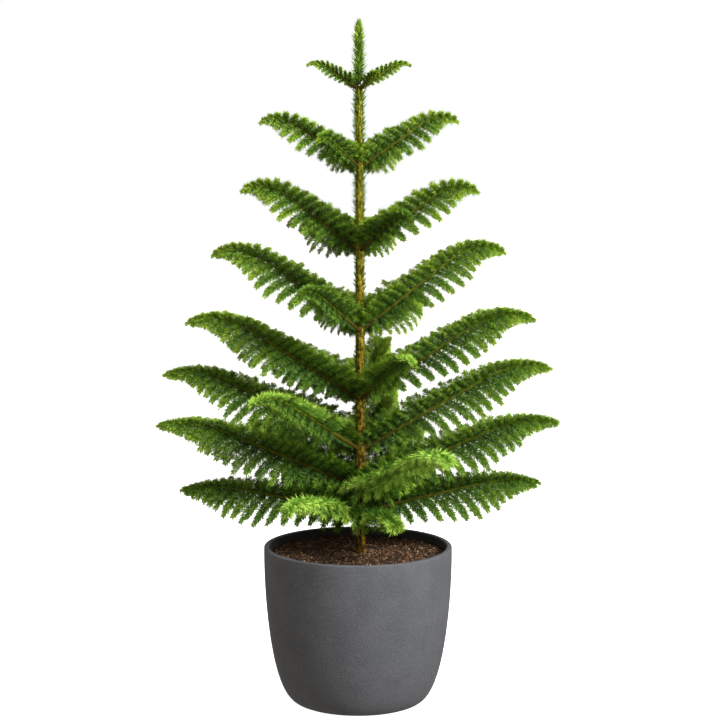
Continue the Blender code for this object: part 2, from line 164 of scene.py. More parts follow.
def triangle_piece(name, corners, triangles, material, smooth=True):
    """A mesh object from an array of corners and an array of triangles."""
    mesh = bpy.data.meshes.new(name)
    mesh.vertices.add(len(corners))
    mesh.vertices.foreach_set("co", np.asarray(corners, np.float32).ravel())
    mesh.loops.add(len(triangles) * 3)
    mesh.loops.foreach_set("vertex_index", np.asarray(triangles, np.int32).ravel())
    mesh.polygons.add(len(triangles))
    mesh.polygons.foreach_set("loop_start", np.arange(0, len(triangles) * 3, 3, dtype=np.int32))
    mesh.update(calc_edges=True)
    if smooth:
        mesh.shade_smooth()
    mesh.materials.append(material)
    piece = bpy.data.objects.new(name, mesh)
    bpy.context.scene.collection.objects.link(piece)
    return piece


def skin(rings, sides):
    """Triangles over rings of corners that are numbered one after another and go round anticlockwise."""
    ring, side = np.meshgrid(np.arange(rings - 1), np.arange(sides), indexing="ij")
    low, beside = ring * sides + side, ring * sides + (side + 1) % sides
    first = np.stack([low, beside, beside + sides], -1).reshape(-1, 3)
    second = np.stack([low, beside + sides, low + sides], -1).reshape(-1, 3)
    return np.concatenate([first, second])


def turned(profile, sides):
    """Corners and triangles of a solid turned about Z. Its profile runs up the outside, from axis to axis."""
    turns = 2 * math.pi * np.arange(sides) / sides
    rings = np.array(profile[1:-1])
    x, y = np.outer(rings[:, 0], np.cos(turns)), np.outer(rings[:, 0], np.sin(turns))
    z = np.repeat(rings[:, 1:], sides, 1)
    corners = np.stack([x, y, z], -1).reshape(-1, 3)
    foot, top = len(corners), len(corners) + 1
    corners = np.vstack([corners, (0, 0, profile[0][1]), (0, 0, profile[-1][1])])
    side = np.arange(sides)
    beside = (side + 1) % sides
    last = (len(rings) - 1) * sides
    under = np.stack([np.full(sides, foot), beside, side], -1)
    over = np.stack([np.full(sides, top), last + side, last + beside], -1)
    return corners, np.concatenate([skin(len(rings), sides), under, over])


def wall_line(inset, floor, top, steps):
    """The pot's wall from its floor up to below the lip, as a Bezier curve: rounding out, then upright."""
    radius = POT_RADIUS - inset
    controls = np.array([(POT_FOOT_RADIUS - inset, floor), (radius - POT_ROUND, floor),
                         (radius + POT_BELLY, POT_TURN), (radius, top)])
    t = np.linspace(0, 1, steps + 1)[:, None]
    weights = np.hstack([(1 - t) ** 3, 3 * t * (1 - t) ** 2, 3 * t * t * (1 - t), t ** 3])
    return [tuple(point) for point in weights @ controls]


def lip_line(radius, rounding, start, end):
    """A quarter turn of the lip about a point as far below the rim as its rounding. Angles are in degrees."""
    line = []
    for turn in np.radians(np.linspace(start, end, LIP_STEPS + 1)):
        line.append((radius + rounding * math.cos(turn), POT_HEIGHT - rounding * (1 - math.sin(turn))))
    return line


edge = POT_HEIGHT - LIP_ROUNDING
outside = wall_line(0, 0, edge, POT_WALL_STEPS)
inside = wall_line(POT_WALL, POT_FLOOR, edge, POT_WALL_STEPS // 2)[::-1]
over_lip = lip_line(POT_RADIUS - LIP_ROUNDING, LIP_ROUNDING, 0, 90)
into_pot = lip_line(POT_RADIUS - POT_WALL + LIP_ROUNDING, LIP_ROUNDING, 90, 180)
clay = clay_finish("fibre_clay", CLAY, CLAY_CLOUD, CLAY_SPECK)
# The inside wall gets a darker clay of its own: painted shade.
painted_shade_inner_clay = clay_finish("painted_shade_inner_clay", PAINTED_SHADE_CLAY, PAINTED_SHADE_CLAY, CLAY_CLOUD)
pot_line = [(0, 0)] + outside + over_lip[1:] + into_pot[:-1] + inside + [(0, POT_FLOOR)]
corners, triangles = turned(pot_line, POT_SIDES)
pot = triangle_piece("pot_shell", corners, triangles, clay)
pot.data.materials.append(painted_shade_inner_clay)
first_inside = len(outside + over_lip[1:] + into_pot[:-1])
within = triangles.min(1) // POT_SIDES >= first_inside
pot.data.polygons.foreach_set("material_index", within.astype(np.int32))
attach(pot, "root")
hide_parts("pot")


# The potting mix is composted bark and peat: a dark, crumbly bed that fills the pot to a finger's breadth
# below the rim, and rises a little at the trunk. Loose crumbs, pale chips and thin root fibres lie on it.
SEED = 11
SOIL_LEVEL = 0.2205
SOIL_MOUND = 0.0035
SOIL_CLEARANCE = 0.0006
SOIL_RINGS = 40
SOIL_SIDES = 128
SOIL_LUMPS = 0.0026
SOIL_RADIUS = POT_RADIUS - POT_WALL - SOIL_CLEARANCE
PEAT = (54, 39, 28)
PEAT_DAMP = (20, 13, 9)
PEAT_DRY = (112, 84, 60)
CRUMBS = ((1700, (0.0016, 0.0042), (70, 50, 36)), (900, (0.0014, 0.0036), (122, 90, 64)),
          (160, (0.0010, 0.0024), (186, 160, 126)))
BED_SPREAD = (0.004, 0.95)
CRUMB_CORNER = (0.5, 1.25)
CRUMB_STRETCH = (0.45, 1.2)
FIBRES = 620
FIBRE_LENGTH = (0.005, 0.014)
FIBRE_RADIUS = 0.00040
FIBRE_RISE = (-0.1, 0.28)
FIBRE_BOW = 0.4
FIBRE_LIFT = 0.0006
FIBRE_EDGE = 0.012
FIBRE_COLOUR = (126, 96, 64)
FIBRE_SHADES = ((0.35, (70, 50, 32)), (0.7, (160, 126, 88)))

rng = np.random.default_rng(SEED)


def soil_height(x, y):
    """The height of the bed: a low mound at the trunk, with lumps and hollows."""
    mound = SOIL_MOUND * max(0.0, 1 - math.hypot(x, y) / SOIL_RADIUS)
    coarse = noise.noise(Vector((x, y, 0)) * 55)
    fine = noise.noise(Vector((x, y, 0.3)) * 210)
    return SOIL_LEVEL + mound + SOIL_LUMPS * (0.6 * coarse + 0.5 * fine)


def scattered(count):
    """Points spread evenly over the bed, clear of the pot's wall."""
    reach = np.sqrt(rng.uniform(*BED_SPREAD, count)) * SOIL_RADIUS
    turn = rng.uniform(0, 2 * math.pi, count)
    x, y = reach * np.cos(turn), reach * np.sin(turn)
    return np.stack([x, y, [soil_height(*place) for place in zip(x, y)]], -1)


def unit(vectors):
    """The vectors at length 1."""
    return vectors / np.linalg.norm(vectors, axis=-1, keepdims=True)


def lay_crumbs(name, count, sizes, colour):
    """Broken crumbs: octahedra with their corners pulled in and out by chance, each turned its own way."""
    axes = np.array([(1, 0, 0), (0, 1, 0), (-1, 0, 0), (0, -1, 0), (0, 0, 1), (0, 0, -1)], float)
    faces = np.array([(0, 1, 4), (1, 2, 4), (2, 3, 4), (3, 0, 4), (1, 0, 5), (2, 1, 5), (3, 2, 5), (0, 3, 5)])
    shape = axes * rng.uniform(*CRUMB_CORNER, (count, 6, 1)) * rng.uniform(*sizes, (count, 1, 1))
    shape *= rng.uniform(*CRUMB_STRETCH, (count, 1, 3))
    first = unit(rng.normal(size=(count, 3)))
    second = unit(np.cross(first, rng.normal(size=(count, 3))))
    turned_way = np.stack([first, second, np.cross(first, second)], 1)
    corners = np.einsum("nij,njk->nik", shape, turned_way) + scattered(count)[:, None]
    triangles = (faces + 6 * np.arange(count)[:, None, None]).reshape(-1, 3)
    material, shader = new_finish(name + "_finish", colour, 0.9, 0.25)
    shades = ((0.3, [value * 0.6 for value in colour]), (0.7, [min(255, value * 1.25) for value in colour]))
    material.node_tree.links.new(colour_ramp(material, noise_value(material, 160), shades),
                                 shader.inputs["Base Color"])
    return triangle_piece(name, corners.reshape(-1, 3), triangles, material, smooth=False)


def limbs(lines, radii, sides, across):
    """Corners and triangles of many closed limbs. Each line has as many points, and each point a radius."""
    count, rings = lines.shape[:2]
    forward = unit(np.gradient(lines, axis=1))
    first = unit(across[:, None] - forward * np.sum(across[:, None] * forward, -1, keepdims=True))
    second = np.cross(forward, first)
    turns = 2 * math.pi * np.arange(sides) / sides
    circle = (first[:, :, None] * np.cos(turns)[:, None] + second[:, :, None] * np.sin(turns)[:, None])
    corners = lines[:, :, None] + circle * radii[:, :, None, None]
    around = np.concatenate([skin(rings, sides), *end_caps(rings, sides)])
    step = rings * sides
    triangles = (around + step * np.arange(count)[:, None, None]).reshape(-1, 3)
    return corners.reshape(-1, 3), triangles


def end_caps(rings, sides):
    """Triangles that close the first and the last ring of a limb."""
    fan = np.arange(1, sides - 1)
    last = (rings - 1) * sides
    start = np.stack([np.zeros(len(fan), int), fan + 1, fan], -1)
    end = np.stack([np.full(len(fan), last), last + fan, last + fan + 1], -1)
    return start, end


bed = [(0, POT_FLOOR + SOIL_CLEARANCE)]
bed += [place for place in wall_line(POT_WALL + SOIL_CLEARANCE, POT_FLOOR + SOIL_CLEARANCE, edge, 12)
        if place[1] < SOIL_LEVEL - 0.004]
bed += [(SOIL_RADIUS * math.sqrt(1 - ring / SOIL_RINGS), SOIL_LEVEL) for ring in range(SOIL_RINGS)]
bed += [(0, SOIL_LEVEL)]
corners, triangles = turned(bed, SOIL_SIDES)
for corner in corners:
    if corner[2] >= SOIL_LEVEL:
        corner[2] = soil_height(corner[0], corner[1])
peat, shader = new_finish("peat", PEAT, 0.95, 0.2)
dark_and_dry = colour_ramp(peat, noise_value(peat, 230, 5.0, 0.65),
                           ((0.33, PEAT_DAMP), (0.55, PEAT), (0.72, PEAT_DRY)))
peat.node_tree.links.new(dark_and_dry, shader.inputs["Base Color"])
add_bump(peat, shader, noise_value(peat, 420, 5.0, 0.7), 0.0018)
soil = triangle_piece("potting_mix", corners, triangles, peat)
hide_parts("soil")

bed_pieces = [soil]
for number, (count, sizes, colour) in enumerate(CRUMBS, 1):
    bed_pieces.append(lay_crumbs(f"mix_crumbs_{number}", count, sizes, colour))

start = scattered(FIBRES)
lie = unit(np.stack([*rng.normal(size=(2, FIBRES)), rng.uniform(*FIBRE_RISE, FIBRES)], -1))
bow = unit(np.cross(lie, (0, 0, 1))) * rng.uniform(-FIBRE_BOW, FIBRE_BOW, (FIBRES, 1))
length = rng.uniform(*FIBRE_LENGTH, (FIBRES, 1))
length *= np.clip((SOIL_RADIUS - np.hypot(start[:, :1], start[:, 1:2])) / FIBRE_EDGE, 0.1, 1)
fibre_lines = np.stack([start - lie * length / 2, start + bow * length / 2, start + lie * length / 2], 1)
fibre_lines[:, :, 2] += FIBRE_LIFT
fibre_radii = np.full((FIBRES, 3), FIBRE_RADIUS)
upright = np.tile((0.0, 0.0, 1.0), (FIBRES, 1))
corners, triangles = limbs(fibre_lines, fibre_radii, 3, upright)
straw, shader = new_finish("root_fibre", FIBRE_COLOUR, 0.85, 0.3)
straw_shades = colour_ramp(straw, noise_value(straw, 90), FIBRE_SHADES)
straw.node_tree.links.new(straw_shades, shader.inputs["Base Color"])
bed_pieces.append(triangle_piece("mix_fibres", corners, triangles, straw))
for piece in bed_pieces:
    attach(piece, "root")


# The trunk is one young stem, nearly straight, from the soil to the top whorl. Its bark still carries the
# bases of the needles it has shed: small raised scales in leaning ranks with streaks along them, golden on
# their crests and dark brown between. It swells where a whorl leaves it, and flares into the soil.
TRUNK_FOOT = 0.2223
TRUNK_TOP = 0.914
PLANT_TIP = 1.011
FOOT_RADIUS = 0.0088
STEM_RADIUS = 0.0074
TOP_RADIUS = 0.0046
TRUNK_TAPER = 1.4
FLARE_HEIGHT = 0.022
FOOT_OFFSET = 0.0042
TIP_OFFSET = 0.0012
BOW = 0.0012
COLLAR_SWELL = 1.16
COLLAR_HALF = 0.007
TRUNK_SIDES = 30
RING_STEP = 0.00105
SCALE_RANKS = 6
SCALE_HEIGHT = 0.0105
SCALE_DEPTH = 0.00075
RANK_LEAN = 22
RANK_SWAY = 0.8
SCALE_SHARE = 0.46
STREAK_SHARE = 0.50
GRAIN_SHARE = 0.18
RELIEF_MIDDLE = 0.45
BARK_GROOVE = (24, 16, 4)
BARK_FLANK = (58, 41, 6)
BARK_CREST = (150, 108, 24)
YOUNG_GROOVE = (32, 30, 5)
YOUNG_FLANK = (90, 86, 12)
YOUNG_CREST = (184, 174, 50)

# Whorls from the ground up: height of the whorl on the trunk, length of a side branch, and for each
# branch its side, its azimuth from +X in degrees, its share of that length and its pitch in degrees.
WHORLS = (
    (0.286, 0.274, (
        ("right", 4, 1.00, 12.5), ("left", 175, 1.00, 9.5), ("front_left", -117, 0.84, 15),
        ("front_right", -68, 0.50, 5), ("back_right", 62, 0.92, 8), ("back_left", 120, 0.92, 8))),
    (0.322, 0.320, (
        ("right", -3, 0.98, 24.5), ("left", 184, 1.00, 23), ("front_right", -62, 0.86, 22),
        ("back_right", 68, 0.90, 15), ("back_left", 128, 0.92, 16))),
    (0.377, 0.321, (
        ("right", 5, 0.99, 30), ("left", 176, 1.00, 27.5), ("front_left", -128, 0.86, 28),
        ("back_right", 78, 0.88, 16), ("back_left", 124, 0.92, 14))),
    (0.453, 0.292, (
        ("right", -4, 1.01, 34), ("left", 186, 1.00, 33), ("front_right", -66, 0.72, 28),
        ("back_right", 80, 0.90, 18), ("back_left", 128, 0.90, 18))),
    (0.5545, 0.260, (
        ("right", 7, 1.00, 38), ("left", 177, 1.00, 37), ("front_left", -118, 0.80, 27),
        ("back_right", 62, 0.86, 14), ("back_left", 108, 0.86, 14))),
    (0.672, 0.206, (
        ("right", -5, 1.00, 37), ("left", 183, 1.00, 37.5), ("front_right", -60, 0.80, 28),
        ("back_right", 72, 0.86, 14), ("back_left", 122, 0.86, 15))),
    (0.794, 0.168, (
        ("right", 4, 1.00, 35), ("left", 176, 1.00, 34), ("front_left", -120, 0.78, 28),
        ("back_right", 62, 0.82, 16), ("back_left", 112, 0.82, 16))),
    (0.907, 0.087, (
        ("right", 0, 1.00, 35), ("left", 180, 1.01, 35), ("front_right", -58, 0.72, 30),
        ("back_left", 108, 0.80, 22))),
)


def trunk_radius(height):
    """The trunk's radius at a height: an even taper, a flare at the foot and a collar at each whorl."""
    share = (height - TRUNK_FOOT) / (TRUNK_TOP - TRUNK_FOOT)
    flare = np.clip(1.0 - (height - TRUNK_FOOT) / FLARE_HEIGHT, 0, None) ** 2
    radius = STEM_RADIUS + (TOP_RADIUS - STEM_RADIUS) * np.clip(share, 0, 1) ** TRUNK_TAPER
    collars = sum(np.exp(-((height - whorl[0]) / COLLAR_HALF) ** 2 * 2) for whorl in WHORLS)
    return radius * (1 + (COLLAR_SWELL - 1) * collars) + (FOOT_RADIUS - STEM_RADIUS) * flare


def trunk_axis(height):
    """The middle of the trunk at a height. It leans a little from its foot, with a slight bow."""
    share = (height - TRUNK_FOOT) / (PLANT_TIP - TRUNK_FOOT)
    x = FOOT_OFFSET + (TIP_OFFSET - FOOT_OFFSET) * share
    return np.stack([x, BOW * np.sin(math.pi * share), height], -1)


def scale_relief(turn, height):
    """How far a point of the bark is up on a needle base, from 0 in the groove to 1 on the crest."""
    sway = noise.noise(Vector((math.cos(turn), math.sin(turn), height * 70)) * 1.3)
    rank = turn / (2 * math.pi) * SCALE_RANKS + height * RANK_LEAN + RANK_SWAY * sway
    column = math.floor(rank)
    across = rank - column - 0.5
    unevenness = noise.noise(Vector((column * 3.1, height * 120, 2)))
    rise = height / SCALE_HEIGHT + 0.5 * (column % 2) + 0.6 * unevenness
    up = rise - math.floor(rise)
    scale = (up ** 0.7) * min(1.0, (1 - up) * 5) * max(0.0, 1 - (2 * across) ** 2)
    streak = 0.5 + 0.7 * noise.noise(Vector((math.cos(turn) * 2.6, math.sin(turn) * 2.6, height * 75)))
    grain = 0.5 + 0.5 * noise.noise(Vector((math.cos(turn) * 4, math.sin(turn) * 4, height * 700)))
    return min(1.0, max(0.0, SCALE_SHARE * scale + STREAK_SHARE * streak + GRAIN_SHARE * grain))


heights = np.arange(TRUNK_FOOT, TRUNK_TOP, RING_STEP)
turns = 2 * math.pi * np.arange(TRUNK_SIDES) / TRUNK_SIDES
relief = np.array([[scale_relief(turn, height) for turn in turns] for height in heights])
radius = trunk_radius(heights)[:, None] + SCALE_DEPTH * (relief - RELIEF_MIDDLE)
axis = trunk_axis(heights)
circle = np.stack([np.cos(turns), np.sin(turns), np.zeros(TRUNK_SIDES)], -1)
corners = (axis[:, None] + radius[:, :, None] * circle).reshape(-1, 3)
triangles = np.concatenate([skin(len(heights), TRUNK_SIDES), *end_caps(len(heights), TRUNK_SIDES)])
bark, shader = new_finish("bark", BARK_FLANK, 0.7, 0.1)
for attribute in ("relief", "youth"):
    node = bark.node_tree.nodes.new("ShaderNodeAttribute")
    node.attribute_name = attribute
    node.name = attribute
crest = bark.node_tree.nodes["relief"].outputs["Fac"]
old_bark = colour_ramp(bark, crest, ((0.12, BARK_GROOVE), (0.42, BARK_FLANK), (0.85, BARK_CREST)))
young_bark = colour_ramp(bark, crest, ((0.12, YOUNG_GROOVE), (0.42, YOUNG_FLANK), (0.85, YOUNG_CREST)))
youth_node = bark.node_tree.nodes["youth"].outputs["Fac"]
bark_colour = blend_colours(bark, youth_node, old_bark, young_bark)
bark.node_tree.links.new(bark_colour, shader.inputs["Base Color"])
add_bump(bark, shader, noise_value(bark, 1500, 3.0), 0.0003)
trunk = triangle_piece("trunk_bark", corners, triangles, bark)


def paint(piece, attribute, values):
    """Writes a value for each corner of the piece, for its finish to read."""
    layer = piece.data.attributes.new(attribute, "FLOAT", "POINT")
    layer.data.foreach_set("value", np.asarray(values, np.float32).ravel())


paint(trunk, "relief", relief)
ring_youth = np.clip((heights - TRUNK_FOOT) / (TRUNK_TOP - TRUNK_FOOT), 0, 1)
paint(trunk, "youth", np.repeat(ring_youth, TRUNK_SIDES))
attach(trunk, "root")
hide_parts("trunk")


# The branches stand in whorls of four to six. Each is one thin tapering limb that runs straight out at its
# pitch and arches over until its tip droops, less so in the low whorls. It is brown and woody by the trunk
# and green at its tip.
ARCH_START = 0.56
ARCH_POWER = 2.2
TIP_PITCH = (-20.0, -18.0, -26.0, -34.0, -45.0, -45.0, -45.0, -45.0)
CURVE_STEPS = 40
BRANCH_RADIUS = 0.0038
BRANCH_TIP_RADIUS = 0.0012
BRANCH_TAPER = 1.6
THINNER_A_WHORL = 0.06
FOOT_SWELL = 0.35
FOOT_SWELL_REACH = 0.007
BRANCH_SIDES = 8
BRANCH_RINGS = 34
STEM_COLOURS = ((0.0, (62, 48, 9)), (0.14, (76, 66, 12)), (0.45, (100, 100, 18)), (0.75, (104, 122, 22)),
                (1.0, (116, 144, 28)))


def between(ends, share):
    """The value at a share of the way from the first end to the second."""
    return ends[0] + (ends[1] - ends[0]) * share


class Branch:
    """The centre line of a branch, from the trunk's axis to its drooping tip. Places along it are shares."""

    def __init__(self, whorl, height, name, azimuth, length, pitch):
        turn = math.radians(azimuth)
        self.whorl = whorl
        self.name = name
        self.length = length
        self.pitch = pitch
        self.out = np.array([math.cos(turn), math.sin(turn), 0.0])
        self.side = np.cross((0.0, 0.0, 1.0), self.out)
        headings = self.tangent((np.arange(CURVE_STEPS) + 0.5) / CURVE_STEPS) * (length / CURVE_STEPS)
        self.points = trunk_axis(np.float64(height)) + np.vstack([np.zeros(3), np.cumsum(headings, 0)])

    def tangent(self, along):
        """The branch's direction."""
        arched = np.clip((np.asarray(along) - ARCH_START) / (1.0 - ARCH_START), 0, None) ** ARCH_POWER
        pitch = np.radians(self.pitch + (TIP_PITCH[self.whorl] - self.pitch) * arched)[..., None]
        return self.out * np.cos(pitch) + np.array([0.0, 0.0, 1.0]) * np.sin(pitch)

    def upward(self, along):
        """The direction square to the branch in its upright plane."""
        return np.cross(self.tangent(along), self.side)

    def point(self, along):
        """The middle of the branch."""
        places = np.linspace(0, 1, CURVE_STEPS + 1)
        return np.stack([np.interp(along, places, self.points[:, axis]) for axis in range(3)], -1)

    def radius(self, along):
        """The branch's radius: it tapers all the way, and it swells where it leaves the trunk."""
        foot = BRANCH_RADIUS * (1.0 - THINNER_A_WHORL * self.whorl)
        swell = 1 + FOOT_SWELL * np.exp(-(along * self.length / FOOT_SWELL_REACH) ** 2 / 2)
        return (foot + (BRANCH_TIP_RADIUS - foot) * along ** BRANCH_TAPER) * swell


branches = []
for whorl, (height, side_length, around) in enumerate(WHORLS):
    for name, azimuth, share, pitch in around:
        branches.append(Branch(whorl, height, name, azimuth, side_length * share, pitch))

places = np.linspace(0.0, 1.0, BRANCH_RINGS)
stem_lines = np.array([branch.point(places) for branch in branches])
stem_radii = np.array([branch.radius(places) for branch in branches])
across = np.array([branch.side for branch in branches])
corners, triangles = limbs(stem_lines, stem_radii, BRANCH_SIDES, across)
stem_bark, shader = new_finish("branch_bark", BARK_FLANK, 0.6, 0.15)
age = stem_bark.node_tree.nodes.new("ShaderNodeAttribute")
age.attribute_name = "age"
stem_colour = colour_ramp(stem_bark, age.outputs["Fac"], STEM_COLOURS)
stem_bark.node_tree.links.new(stem_colour, shader.inputs["Base Color"])
add_bump(stem_bark, shader, noise_value(stem_bark, 700, 3.0), 0.0006)
stems = triangle_piece("branch_stems", corners, triangles, stem_bark)
paint(stems, "age", np.tile(np.repeat(places, BRANCH_SIDES), len(branches)))
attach(stems, "root")
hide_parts(*sorted(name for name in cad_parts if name.startswith("bough")))


# The side shoots stand along each branch in four rows: two that rise and two that hang, leaning out to
# both sides of it, so that a branch looks like a feather from any side. Each is a thin green twig that
# bends over under its own weight, close set with needles. They get shorter and point ahead at the tip.
SPRAYS_END = 0.975
BARE_REACH = 0.017
# A front branch that isn't draped is bare to this share of its length, and its shoots are shorter.
FRONT_BARE_SHARE = 0.30
LONGEST_UPPER = (0.034, 0.036, 0.036, 0.037, 0.037, 0.038, 0.031, 0.0165)
LONGEST_LOWER = (0.060, 0.059, 0.058, 0.055, 0.052, 0.043, 0.034, 0.0150)
TOP_SWING = 0.62
FRONT_UPPER = 0.66
FRONT_LOWER = 0.44
LOWEST_INNER = 0.62
UPPER = {"rise": 1, "spacing": (0.0138, 0.0085), "lean": (30, 42), "droop": 0.42,
         "length": ((0.04, 0.80), (0.14, 1.16), (0.3, 1.10), (0.5, 0.86), (0.7, 0.54), (0.85, 0.28),
                    (1.0, 0.08)),
         "swing": ((0.0, 98), (0.5, 96), (0.7, 86), (0.85, 62), (1.0, 34))}
LOWER = {"rise": -1, "spacing": (0.0190, 0.0115), "lean": (30, 42), "droop": 0.95,
         "length": ((0.04, 0.24), (0.14, 0.40), (0.3, 0.76), (0.5, 1.0), (0.64, 0.86), (0.8, 0.48),
                    (1.0, 0.08)),
         "swing": ((0.0, 60), (0.5, 50), (0.8, 40), (1.0, 24))}
SPACING_OF_LONGEST = 0.45
LENGTH_SPREAD = (0.93, 1.06)
SWING_SPREAD = 3.0
DENSE_WHORLS = 4
PAIR_OFFSET = 0.08
TWIG_RADIUS = (0.00095, 0.00055)
TWIG_RINGS = 3
TWIG_SIDES = 3
TWIG_END = 0.96
# The old twigs are a dark olive, partly their own colour and partly painted shade down the middle of each
# shoot.
TWIG_COLOUR = (34, 50, 14)
NEW_TWIG_COLOUR = (92, 128, 36)

# What a leafy stretch of twig or stem needs: its line as a quadratic Bezier, the direction its flat face
# looks in, the twig's radius at both ends, the count of its needles, their length, angle off the twig in
# degrees and tone at both ends, their width, how round the stretch is, and if it is new growth.
STRETCH = np.dtype([("line", float, (3, 3)), ("face", float, 3), ("radius", float, 2), ("count", int),
                    ("reach", float, 2), ("spread", float, 2), ("tone", float, 2), ("width", float),
                    ("round", float), ("new", int)])
NEEDLES_A_METRE = 5600
NEEDLE_REACH = (0.0112, 0.0082)
NEEDLE_SPREAD = (60, 24)
NEEDLE_WIDTH = 0.00108
NEEDLE_SIZES = (1.08, 1.08, 1.06, 1.03, 1.0, 0.92, 0.90, 0.40)
SHORT_SHOOT_SIZE = 0.50
SIZE_REACH = 0.04
SHOOT_ROUNDNESS = 0.75
TWIG_CLEAR = 0.0010
# Shoots get lighter along the branch and towards each shoot's tip: partly the needles' age, partly painted
# shade that darkens them near the trunk and the branch.
SHOOT_TONE = 0.31
TONE_ALONG = 0.28
TONE_A_WHORL = 0.027
# Painted light: the rising row of shoots is made lighter than the hanging one.
UPPER_PAINTED_LIGHT = 0.05
TONE_SPREAD = 0.09
SHOOT_END_TONES = (-0.08, 0.22)

# New growth, bright and soft: where it starts along the branch, and its share of the shoots from there on.
# On the draped branches every shoot leans out sideways and hangs, as this year's long shoots do.
NEW_GROWTH = {(1, "front_right"): (0.0, 1.0), (0, "front_left"): (0.0, 0.9), (0, "front_right"): (0.0, 0.5),
              (2, "front_left"): (0.15, 0.8), (3, "front_right"): (0.74, 0.9)}
NEW_TONE = (0.0, 0.26)
NEW_END_TONES = (-0.16, 0.30)
NEW_WIDTH = 1.25
NEW_COUNT = 0.70
NEW_SIZE = 1.15
DRAPED = ((1, "front_right"), (0, "front_left"), (0, "front_right"))
DRAPED_LEAN = (58, 80)
DRAPED_DROOP = 1.5
DRAPED_LONGEST = (0.046, 0.056)
DRAPED_SPACING = 1.6
DRAPED_SHORTER = 0.72
# By whorl, how much darker a front branch's shoots are painted towards its tip, as painted shade, and
# how much lighter all the shoots of the back branches are painted, as painted light, since they stand
# away from the lights.
FRONT_PAINTED_SHADE = (0.0, 0.0, 0.12, 0.12, 0.30, 0.30, 0.28, 0.12)
BACK_PAINTED_LIGHT = 0.16
leafy = []
twig_lines = []
new_twig_lines = []


def by_place(stops, along):
    """The value at a place along the branch, read between the stops."""
    return float(np.interp(along, [stop[0] for stop in stops], [stop[1] for stop in stops]))


def stations(branch, row, longest, offset):
    """The places of one row's shoots along the branch. They stand closer towards its tip."""
    places = []
    set_back = branch.name.startswith("front") and (branch.whorl, branch.name) not in DRAPED
    reach = branch.length * FRONT_BARE_SHARE if set_back else min(BARE_REACH, branch.length * 0.2)
    wider = DRAPED_SPACING if (branch.whorl, branch.name) in DRAPED else 1.0
    step = wider * min(row["spacing"][0], SPACING_OF_LONGEST * longest)
    reach += offset * step
    while reach / branch.length < SPRAYS_END:
        along = reach / branch.length
        places.append(along)
        reach += wider * min(between(row["spacing"], along ** 1.5), SPACING_OF_LONGEST * longest)
    return places


def is_new_growth(branch, along):
    """Whether what grows at this place is this season's, and bright."""
    start, share = NEW_GROWTH.get((branch.whorl, branch.name), (1.0, 0.0))
    return along >= start and rng.uniform() < share


def grow_shoot(branch, row, side, along, longest):
    """One side shoot: its line, and its needles."""
    draped = (branch.whorl, branch.name) in DRAPED
    lean = math.radians(rng.uniform(*(DRAPED_LEAN if draped else row["lean"])))
    swing = by_place(row["swing"], along) * (TOP_SWING if branch.whorl == len(WHORLS) - 1 else 1.0)
    swing = math.radians(swing + rng.uniform(-SWING_SPREAD, SWING_SPREAD))
    length = longest * by_place(row["length"], along) * rng.uniform(*LENGTH_SPREAD)
    if branch.whorl == 0 and row is LOWER and along < 0.5:
        length = max(length, longest * LOWEST_INNER)
    if branch.name.startswith("front"):
        length *= FRONT_UPPER if row is UPPER else FRONT_LOWER
    if draped:
        length = DRAPED_LONGEST[branch.whorl] * (1 - DRAPED_SHORTER * along) * rng.uniform(*LENGTH_SPREAD)
    forward, upward = branch.tangent(along), branch.upward(along)
    away = upward * (row["rise"] * math.cos(lean)) + branch.side * (side * math.sin(lean))
    heading = forward * math.cos(swing) + away * math.sin(swing)
    bent = heading + np.array([0.0, 0.0, -DRAPED_DROOP if draped else -row["droop"]])
    bent /= np.linalg.norm(bent)
    root = branch.point(along)
    bend = root + heading * length * 0.5
    line = np.array([root, bend, bend + bent * length * 0.5])
    face = np.cross(forward, heading)
    is_new = (draped or row is UPPER) and is_new_growth(branch, along)
    tone = SHOOT_TONE + TONE_ALONG * along + TONE_A_WHORL * branch.whorl
    tone += UPPER_PAINTED_LIGHT if row is UPPER else 0.0
    tone += rng.uniform(-TONE_SPREAD, TONE_SPREAD)
    # Painted shade on the front branches' outer shoots, and painted light on all the back branches' shoots.
    if branch.name.startswith("front"):
        tone -= FRONT_PAINTED_SHADE[branch.whorl] * along
    elif branch.name.startswith("back"):
        tone += BACK_PAINTED_LIGHT
    tone += rng.uniform(*NEW_TONE) if is_new else 0.0
    width = NEEDLE_WIDTH * (NEW_WIDTH if is_new else 1.0)
    count = int((length + 0.002) * NEEDLES_A_METRE * (NEW_COUNT if is_new else 1.0))
    size = NEEDLE_SIZES[branch.whorl] * min(1.0, SHORT_SHOOT_SIZE + length / SIZE_REACH)
    size *= NEW_SIZE if is_new else 1.0
    reach = [value * size for value in NEEDLE_REACH]
    clear = np.array([root + heading * min(TWIG_CLEAR, length * 0.4), line[1], line[2]])
    tones = [tone + change for change in (NEW_END_TONES if is_new else SHOOT_END_TONES)]
    leafy.append((clear, face / np.linalg.norm(face), TWIG_RADIUS, count, reach, NEEDLE_SPREAD, tones, width,
                  SHOOT_ROUNDNESS, int(is_new)))
    (new_twig_lines if is_new else twig_lines).append(line)


for branch in branches:
    for row, longest_of in ((UPPER, LONGEST_UPPER), (LOWER, LONGEST_LOWER)):
        longest = longest_of[branch.whorl]
        for side in (1, -1):
            staggered = row is UPPER and branch.whorl < DENSE_WHORLS
            offset = (0.5 if staggered else PAIR_OFFSET) if side < 0 else 0.0
            for along in stations(branch, row, longest, offset):
                grow_shoot(branch, row, side, along, longest)


def bezier_points(lines, t):
    """Points on quadratic Bezier lines."""
    t = np.asarray(t)[..., None]
    return lines[..., 0, :] * (1 - t) ** 2 + lines[..., 1, :] * 2 * t * (1 - t) + lines[..., 2, :] * t * t


